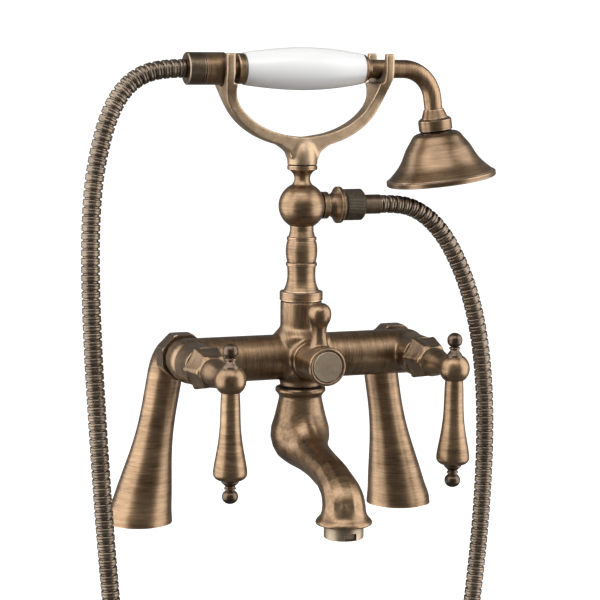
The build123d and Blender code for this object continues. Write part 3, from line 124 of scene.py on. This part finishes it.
def bronze(name, brushed, dark=(0.085, 0.048, 0.024, 1), warm=(0.48, 0.315, 0.182, 1), smooth=0.22,
           turn=(0, 0, 0), centre=(0, 0, 0), lacquer=0.35):
    """Brushed antique bronze. The brush lines are close together along the axes where brushed is large."""
    material, blank = new_finish(name, {"Metallic": 1.0, "Coat Weight": lacquer, "Coat Roughness": 0.22})
    place = blank.add("ShaderNodeTexCoord", {}, {}, "Object")
    along = blank.add("ShaderNodeMapping", {"vector_type": "TEXTURE"},
                      {"Vector": place, "Location": centre, "Rotation": turn})
    along = blank.add("ShaderNodeMapping", {}, {"Vector": along, "Scale": brushed})
    lines = blank.add("ShaderNodeTexNoise", {},
                      {"Vector": along, "Scale": 1.0, "Detail": 6.0, "Roughness": 0.8})
    bands = blank.add("ShaderNodeTexNoise", {},
                      {"Vector": along, "Scale": 0.23, "Detail": 3.0, "Roughness": 0.6})
    clouds = blank.add("ShaderNodeTexNoise", {},
                       {"Vector": place, "Scale": 38.0, "Detail": 6.0, "Roughness": 0.65})
    rubbed, recess_painted_shade = wear_and_painted_shade(blank, 0.0011, 0.008)
    tone = lines.between(0.34, 0.66) * 0.5 + bands.between(0.32, 0.68) * 0.28
    tone = tone + clouds.between(0.32, 0.7) * 0.32
    colour = (tone - 0.08).held().mix(dark, warm)
    colour = (rubbed * (clouds * 0.7 + 0.5)).held().mix(colour, (0.84, 0.60, 0.43, 1))
    # Painted shade: corners and recesses go towards near black where ambient occlusion is high.
    colour = recess_painted_shade.mix(colour, (0.030, 0.018, 0.011, 1))
    rough = (lines * 0.20 + clouds * 0.10 + recess_painted_shade * 0.25 - rubbed * 0.06 + smooth).held()
    blank.reach(colour, rough, lines, 0.22, 0.0003)
    return material


def dress(material, *nodes):
    """Give CAD nodes a finish, and nothing else."""
    for node in nodes:
        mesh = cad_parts[node].data
        mesh.materials.clear()
        mesh.materials.append(material)


def rubber(name, colour):
    """Moulded rubber: matt, with fine specks and a little bloom."""
    material, blank = new_finish(name, {"Specular IOR Level": 0.3})
    place = blank.add("ShaderNodeTexCoord", {}, {}, "Object")
    specks = blank.add("ShaderNodeTexNoise", {}, {"Vector": place, "Scale": 900.0, "Detail": 2.0})
    bloom = blank.add("ShaderNodeTexNoise", {}, {"Vector": place, "Scale": 60.0, "Detail": 3.0})
    tint = (specks * 0.5 + bloom * 0.5).held().mix((*colour, 1), tuple(2.4 * part for part in colour) + (1,))
    blank.reach(tint, (bloom * 0.2 + 0.6).held(), specks, 0.2, 0.0001)
    return material


upright_bronze = bronze("bronze_brushed_round_legs", (70, 70, 900))
dress(upright_bronze, "left_leg", "right_leg")
seal_rubber = rubber("seal_rubber", (0.016, 0.016, 0.017))
dress(seal_rubber, "base_seals")

# Union nuts. Eight-sided nuts that pull the legs to the back of the two barrels,
# in a darker bronze than the legs.
nut_bronze = bronze("bronze_nut", (90, 700, 90), dark=(0.08, 0.050, 0.030, 1), warm=(0.36, 0.25, 0.155, 1))
dress(nut_bronze, "left_union_nut", "right_union_nut")
dress(seal_rubber, "union_washers")


# Mixer body. One brass casting: the crossbar, the two barrels, the hub with its tower and neck.
# It is brushed round the bar. The casting's inner corners are filled out round the hub.
def cast(name, node, body, voxel, rounds, corners):
    """A casting in place of a CAD node: the same form, with its corners smoothed near the given places."""
    bpy.ops.object.select_all(action="DESELECT")
    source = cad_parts[node]
    piece = bpy.data.objects.new(name, source.data.copy())
    bpy.context.scene.collection.objects.link(piece)
    bpy.context.view_layer.objects.active = piece
    piece.select_set(True)
    bpy.ops.object.mode_set(mode="EDIT")
    bpy.ops.mesh.select_all(action="SELECT")
    bpy.ops.mesh.remove_doubles(threshold=0.00002)
    bpy.ops.object.mode_set(mode="OBJECT")
    remesh = piece.modifiers.new("even faces", "REMESH")
    remesh.mode = "VOXEL"
    remesh.voxel_size = voxel
    bpy.ops.object.modifier_apply(modifier=remesh.name)
    group = piece.vertex_groups.new(name="corners")
    for vertex in piece.data.vertices:
        share = max(strength * (1 - max(0, (vertex.co - Vector(centre)).length / reach - 0.6) / 0.4)
                    for centre, reach, strength in corners)
        if share > 0:
            group.add([vertex.index], share, "REPLACE")
    settle = piece.modifiers.new("surface", "SMOOTH")
    settle.factor = 0.5
    settle.iterations = 3
    bpy.ops.object.modifier_apply(modifier=settle.name)
    soften = piece.modifiers.new("corners", "SMOOTH")
    soften.factor = 0.5
    soften.iterations = rounds
    soften.vertex_group = "corners"
    bpy.ops.object.modifier_apply(modifier=soften.name)
    piece.vertex_groups.clear()
    bpy.ops.object.shade_smooth()
    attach(piece, body)
    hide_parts(node)
    return piece


bar_bronze = bronze("bronze_brushed_round_bar", (800, 70, 70))
body_casting = cast("body_casting", "mixer_body", "mixer", 0.0010, 26,
                    [((0, -0.0625, 0.135), 0.034, 1)])
body_casting.data.materials.clear()
body_casting.data.materials.append(bar_bronze)

# Valves. A fluted bonnet screws onto each barrel, and a turned hub on the spindle carries the lever.
# The levers are turned brass with a small finial at each end, the finials in a darker bronze.
front_bronze = bronze("bronze_brushed_to_front", (90, 700, 90))
lever_bronze = bronze("bronze_lever", (90, 90, 800))
finial_bronze = bronze("bronze_finial", (200, 200, 700), dark=(0.035, 0.024, 0.017, 1),
                       warm=(0.19, 0.125, 0.080, 1))
brass_inside = bronze("brass_machined", (300, 300, 300), dark=(0.42, 0.29, 0.12, 1),
                      warm=(0.72, 0.53, 0.25, 1))
for side, side_x in (("hot", -0.087), ("cold", 0.087)):
    bonnet = cast(f"{side}_bonnet_casting", f"{side}_bonnet", "mixer", 0.0006, 16,
                  [((side_x, -0.105, 0.135), 0.06, 1)])
    bonnet.data.materials.clear()
    bonnet.data.materials.append(front_bronze)
    dress(front_bronze, f"{side}_handle_hub")
    dress(lever_bronze, f"{side}_lever")
    dress(finial_bronze, f"{side}_lever_top", f"{side}_lever_tip")
    dress(brass_inside, f"{side}_valve_housing", f"{side}_spindle")


def fired(name, colour, specks_of, rough, coat):
    """Fired clay: a pale body, faint clouds, and a glaze where coat is above 0."""
    material, blank = new_finish(name, {"Coat Roughness": 0.03, "IOR": 1.52})
    place = blank.add("ShaderNodeTexCoord", {}, {}, "Object")
    clouds = blank.add("ShaderNodeTexNoise", {}, {"Vector": place, "Scale": 45.0, "Detail": 4.0})
    ripple = blank.add("ShaderNodeTexNoise", {}, {"Vector": place, "Scale": 120.0, "Detail": 1.0})
    tint = clouds.mix((*colour, 1), (*specks_of, 1))
    blank.reach(tint, (clouds * 0.06 + rough).held(), ripple, 0.05, 0.0004,
                ("Coat Weight", (ripple * 0.1 + coat).held()))
    return material


disc_ceramic = fired("valve_disc_ceramic", (0.80, 0.79, 0.76), (0.88, 0.87, 0.85), 0.18, 0.0)
dress(disc_ceramic, "fixed_discs", "hot_moving_disc", "cold_moving_disc")

# Diverter. A small lever on a hub in the middle of the bar sends the water to the spout or the shower.
# A flat disc closes the hub over its screw. Its bronze is painted lighter than the rest, as painted highlight
# for the light that the disc catches.
# Painted highlight: a lighter bronze, used for the diverter's disc and for the aerator housing.
cap_bronze_painted_highlight = bronze("bronze_cap_disc_painted_highlight", (60, 60, 60), dark=(0.26, 0.19, 0.13, 1), warm=(0.50, 0.40, 0.29, 1),
                    smooth=0.3)
diverter_casting = cast("diverter_casting", "diverter_handle", "diverter", 0.0006, 12,
                        [((0, -0.0965, 0.150), 0.014, 1)])
diverter_casting.data.materials.clear()
diverter_casting.data.materials.append(front_bronze)
dress(cap_bronze_painted_highlight, "diverter_cap")
dress(brass_inside, "diverter_housing", "diverter_spindle")


def steel(name):
    """Bright turned steel for the hidden screws."""
    return bronze(name, (400, 400, 400), dark=(0.36, 0.36, 0.37, 1), warm=(0.62, 0.62, 0.63, 1), smooth=0.2)


screw_steel = steel("screw_steel")
dress(screw_steel, "diverter_screw", "cradle_screw")

# Spout. A hollow casting with a rolled top rim, an S bend and a flared outlet.
# The aerator screws into the outlet; its insert is a fine plastic grid that shows from below.
spout_bronze = bronze("bronze_spout", (90, 480, 480), turn=(radians(40), 0, 0))
spout_casting = cast("spout_casting", "spout", "mixer", 0.0008, 60, [((0, -0.088, 0.070), 0.036, 1)])
spout_casting.data.materials.clear()
spout_casting.data.materials.append(spout_bronze)
dress(seal_rubber, "spout_seal", "riser_seal")
dress(brass_inside, "spout_tail")
# The aerator housing takes the same lighter bronze, painted highlight.
dress(cap_bronze_painted_highlight, "aerator_housing")
grid_plastic = rubber("aerator_plastic", (0.30, 0.30, 0.31))
dress(grid_plastic, "aerator_insert")

# Riser. A nut on the body's neck, a short tube, a ringed socket and a round bulb carry the shower tee.
# They are turned pieces, so their brush lines run round them.
turned_bronze = bronze("bronze_turned_upright", (70, 70, 900))
dress(turned_bronze, "riser_nut", "riser_pipe", "riser_socket", "riser_bulb", "shower_tee")
dress(seal_rubber, "outlet_gasket", "outlet_washer", "handset_washer")

# Hose outlet on the tee. The nut is knurled so that fingers can turn it, and goes on over the ferrule.
hose_bronze = bronze("bronze_hose", (700, 300, 300), dark=(0.06, 0.042, 0.027, 1),
                     warm=(0.24, 0.17, 0.11, 1))
dress(hose_bronze, "outlet_ferrule")


tee_y, tee_height = -0.0625, 0.2497
knurl_count = 64


def knurled(name):
    """Dark bronze with fine straight ridges round the hose's axis, made by a bump. The grooves between are
    painted near black as painted shade, and the tops are left lighter.
    """
    material, blank = new_finish(name, {"Metallic": 1.0, "Coat Weight": 0.3, "Coat Roughness": 0.25})
    place = blank.add("ShaderNodeTexCoord", {}, {}, "Object")
    split = [blank.add("ShaderNodeSeparateXYZ", {}, {"Vector": place}, side) for side in ("Y", "Z")]
    turned = blank.sum_of("ARCTAN2", split[0] - tee_y, split[1] - tee_height)
    ridges = (blank.sum_of("SINE", turned * float(knurl_count), 0.0) * 0.5 + 0.5).held()
    clouds = blank.add("ShaderNodeTexNoise", {}, {"Vector": place, "Scale": 300.0, "Detail": 4.0})
    # Painted shade: the colour follows the ridges, near black in the grooves between them.
    tint = (ridges * 0.6 + clouds * 0.5 - 0.1).held().mix((0.020, 0.016, 0.012, 1), (0.20, 0.155, 0.105, 1))
    blank.reach(tint, (clouds * 0.2 + 0.3).held(), ridges, 0.7, 0.0004)
    return material


knurl_bronze_painted_shade = knurled("bronze_knurled_painted_shade")
dress(knurl_bronze_painted_shade, "hose_nut")

# Cradle. A crescent yoke turns on the tee's pivot and holds the handset in a fork at each end.
cradle_casting = cast("cradle_casting", "cradle", "cradle", 0.0007, 40,
                      [((0, -0.0685, 0.293), 0.016, 1), ((0, -0.0565, 0.293), 0.016, 1),
                       ((0, -0.0625, 0.33), 0.2, 0.2)])
cradle_casting.data.materials.clear()
cradle_bronze = bronze("bronze_cradle", (160, 160, 160), dark=(0.30, 0.205, 0.12, 1),
                       warm=(0.62, 0.45, 0.30, 1), smooth=0.30)
cradle_casting.data.materials.append(cradle_bronze)

# Handset. A ceramic grip between two bronze collars on a bent tube, with a bell-shaped rose.
dress(hose_bronze, "hose_end_nut", "handset_ferrule")
tube_bronze = bronze("bronze_turned_along", (900, 70, 70))
dress(tube_bronze, "handset_tail", "left_grip_collar", "right_grip_collar", "swan_neck")
grip_ceramic = fired("grip_ceramic", (0.78, 0.78, 0.775), (0.83, 0.83, 0.825), 0.30, 0.35)
dress(grip_ceramic, "ceramic_grip")
# The bell's brush lines run square to its axis, which leans 8 degrees. The centre only shifts their grain.
bell_bronze = bronze("bronze_bell", (60, 60, 900), warm=(0.36, 0.235, 0.135, 1),
                     centre=(0.1176, -0.0625, 0.3525), turn=(0, radians(-8), 0))
dress(bell_bronze, "head_collar", "shower_bell", "rose_rim")
dress(nut_bronze, "spray_plate")

# Shower hose. A spiral metal hose over a soft core, ribbed with a double bead and a dark groove.
# It is laid along one smooth line: out of the tee, down below the bath's rim, and up to the handset.
hose_points = [(0.0633, 0.2497), (0.0805, 0.2497), (0.097, 0.244), (0.112, 0.232), (0.126, 0.213),
               (0.141, 0.181), (0.152, 0.138), (0.1575, 0.08), (0.156, 0.008), (0.1495, -0.066), (0.14, -0.138),
               (0.122, -0.206), (0.096, -0.262), (0.055, -0.3), (0, -0.313), (-0.055, -0.3), (-0.096, -0.262),
               (-0.121, -0.206),
               (-0.1365, -0.138), (-0.1425, -0.1), (-0.1482, -0.0639), (-0.1545, 0.01), (-0.1595, 0.086),
               (-0.1635, 0.156), (-0.165, 0.218), (-0.163, 0.262), (-0.1585, 0.29), (-0.152, 0.314),
               (-0.143, 0.333), (-0.13, 0.346), (-0.1115, 0.3525), (-0.0923, 0.3525)]
hose_y = -0.0625
rib_pitch = 0.0061


def laid_line(name, points):
    """A smooth line through the route, and the points that it passes."""
    curve = bpy.data.curves.new(name, "CURVE")
    curve.dimensions = "3D"
    curve.resolution_u = 24
    spline = curve.splines.new("NURBS")
    spline.points.add(len(points) - 1)
    for point, (x, z) in zip(spline.points, points):
        point.co = (x, hose_y, z, 1)
    spline.order_u = 3
    spline.use_endpoint_u = True
    line = bpy.data.objects.new(name, curve)
    bpy.context.scene.collection.objects.link(line)
    bpy.context.view_layer.update()
    mesh = bpy.data.meshes.new_from_object(line)
    passed = [vertex.co.copy() for vertex in mesh.vertices]
    bpy.data.meshes.remove(mesh)
    return line, passed


hose_line, hose_path = laid_line("hose_line", hose_points)
hose_length = sum((after - before).length for before, after in zip(hose_path, hose_path[1:]))
rib_total = round(hose_length / rib_pitch)
rib_step = hose_length / rib_total
join_height = 0.187
walked, join_walked, lower_path, upper_path = 0, 0, [], []
for before, after in zip(hose_path, hose_path[1:]):
    walked += (after - before).length
    if before.x < -0.1 and after.z > join_height and not upper_path:
        join_walked = walked
        upper_path.append(after)
    (upper_path if upper_path else lower_path).append(after if upper_path else before)
lower_path.append(upper_path[0])
lower_ribs = round(join_walked / rib_step)
# Profile of one rib: share of the step, and radius
rib_profile = [(0.10, 0.0056), (0.16, 0.0067), (0.26, 0.0070), (0.44, 0.0070), (0.51, 0.0067),
               (0.56, 0.0067), (0.63, 0.0070), (0.80, 0.0070), (0.89, 0.0067), (0.95, 0.0056), (1.0, 0.0056)]


def ribbed_hose(name, first, count):
    """A length of hose, rib by rib, bent along the laid line."""
    bpy.ops.object.select_all(action="DESELECT")
    bpy.ops.mesh.primitive_circle_add(vertices=20, radius=rib_profile[0][1], fill_type="NOTHING",
                                      location=(first * rib_step, 0, 0), rotation=(0, radians(90), 0))
    hose = bpy.context.object
    hose.name = name
    bpy.ops.object.transform_apply(location=True, rotation=True)
    bpy.ops.object.mode_set(mode="EDIT")
    bpy.ops.mesh.select_all(action="SELECT")
    station, radius = 0, rib_profile[0][1]
    for next_station, next_radius in rib_profile:
        bpy.ops.mesh.extrude_region_move(
            TRANSFORM_OT_translate={"value": ((next_station - station) * rib_step, 0, 0)})
        growth = next_radius / radius
        bpy.ops.transform.resize(value=(1, growth, growth),
                                 center_override=((first + next_station) * rib_step, 0, 0))
        station, radius = next_station, next_radius
    bpy.ops.object.mode_set(mode="OBJECT")
    repeat = hose.modifiers.new("ribs", "ARRAY")
    repeat.count = count
    repeat.use_relative_offset = False
    repeat.use_constant_offset = True
    repeat.constant_offset_displace = (rib_step, 0, 0)
    repeat.use_merge_vertices = True
    repeat.merge_threshold = 0.00001
    bend = hose.modifiers.new("bend", "CURVE")
    bend.object = hose_line
    bend.deform_axis = "POS_X"
    for modifier in ("ribs", "bend"):
        bpy.ops.object.modifier_apply(modifier=modifier)
    bpy.ops.object.mode_set(mode="EDIT")
    bpy.ops.mesh.select_all(action="DESELECT")
    bpy.ops.mesh.select_non_manifold()
    bpy.ops.mesh.edge_face_add()
    bpy.ops.mesh.select_all(action="SELECT")
    bpy.ops.mesh.normals_make_consistent(inside=False)
    bpy.ops.object.mode_set(mode="OBJECT")
    bpy.ops.object.shade_smooth_by_angle(angle=radians(50))
    return hose


rib_bronze = bronze("bronze_hose_ribs", (110, 110, 110), dark=(0.055, 0.040, 0.028, 1),
                    warm=(0.28, 0.220, 0.160, 1), smooth=0.25, lacquer=0.5)
lower_hose = ribbed_hose("hose_lower", 0, lower_ribs)
upper_hose = ribbed_hose("hose_upper", lower_ribs, rib_total - lower_ribs)
for hose, node, path in ((lower_hose, "hose_outlet_run", lower_path),
                         (upper_hose, "hose_handset_run", upper_path)):
    hose.data.materials.append(rib_bronze)
    length = sum((after - before).length for before, after in zip(path, path[1:]))
    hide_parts(node)
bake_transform(lower_hose)
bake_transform(upper_hose)
bpy.data.objects.remove(hose_line)

# Studio. A white tent round the object, and soft lamps to its left, to its right and above it,
# with the dark room in front that gives round pieces their dark bands.
bpy.ops.object.select_all(action="DESELECT")
floor_height = -0.345
material, blank = new_finish("studio_paper", {"Roughness": 0.9, "Base Color": (0.9, 0.9, 0.9, 1),
                                              "Emission Color": (1, 1, 1, 1), "Emission Strength": 1.0})
bpy.ops.mesh.primitive_uv_sphere_add(segments=48, ring_count=24, radius=6, location=(0, 0, floor_height))
tent = bpy.context.object
tent.name = "studio_tent"
bpy.ops.object.mode_set(mode="EDIT")
bpy.ops.mesh.select_all(action="SELECT")
bpy.ops.mesh.bisect(plane_co=(0, 0, floor_height), plane_no=(0, 0, 1), clear_inner=True, use_fill=True)
bpy.ops.mesh.select_all(action="SELECT")
bpy.ops.mesh.flip_normals()
bpy.ops.object.mode_set(mode="OBJECT")
tent.data.materials.append(material)
tent.visible_glossy = False
tent.visible_diffuse = False
world = bpy.data.worlds.new("studio_air")
bpy.context.scene.world = world
world.use_nodes = True
world.node_tree.nodes["Background"].inputs["Color"].default_value = (1, 1, 1, 1)
world.node_tree.nodes["Background"].inputs["Strength"].default_value = 0.17


def softbox(name, place, aim, size, power):
    """A square lamp behind white cloth, turned towards its aim."""
    lamp = bpy.data.lights.new(name, "AREA")
    lamp.shape = "RECTANGLE"
    lamp.size, lamp.size_y = size
    lamp.energy = power
    holder = bpy.data.objects.new(name, lamp)
    holder.location = place
    holder.rotation_euler = (Vector(aim) - Vector(place)).to_track_quat("-Z", "Y").to_euler()
    bpy.context.scene.collection.objects.link(holder)


aim = (0, -0.06, 0.12)
view_turn = -20.74


def around(bearing, height, distance):
    """A place at a bearing from the camera's line, seen from the object; positive is to the right."""
    angle = radians(view_turn + bearing)
    return (aim[0] + distance * sin(angle), aim[1] - distance * cos(angle), height)


softbox("lamp_left", around(-80, 0.35, 1.2), aim, (1.8, 2.2), 32)
softbox("lamp_right", around(84, 0.35, 1.2), aim, (1.4, 2.2), 24)
softbox("lamp_top", around(-10, 1.25, 0.75), aim, (1.5, 0.7), 10)

# Camera, from the place and with the lens that the photograph was taken with.
turn, lift, lean = radians(view_turn), radians(7.36), radians(0.5)
back = Vector((sin(turn) * cos(lift), -cos(turn) * cos(lift), sin(lift)))
across = Vector((cos(turn), sin(turn), 0))
up = back.cross(across)
right = across * cos(lean) + up * sin(lean)
up = up * cos(lean) - across * sin(lean)
camera = bpy.data.objects.new("camera", bpy.data.cameras.new("camera"))
camera.data.sensor_width = 36
camera.data.lens = 2040.81 / 600 * 36
camera.matrix_world = Matrix.Translation(Vector((0.02276, 0, 0.16925)) + back * 1.61769) @ Matrix(
    (right, up, back)).transposed().to_4x4()
bpy.context.scene.collection.objects.link(camera)
bpy.context.scene.camera = camera
bpy.context.scene.view_settings.view_transform = "Standard"
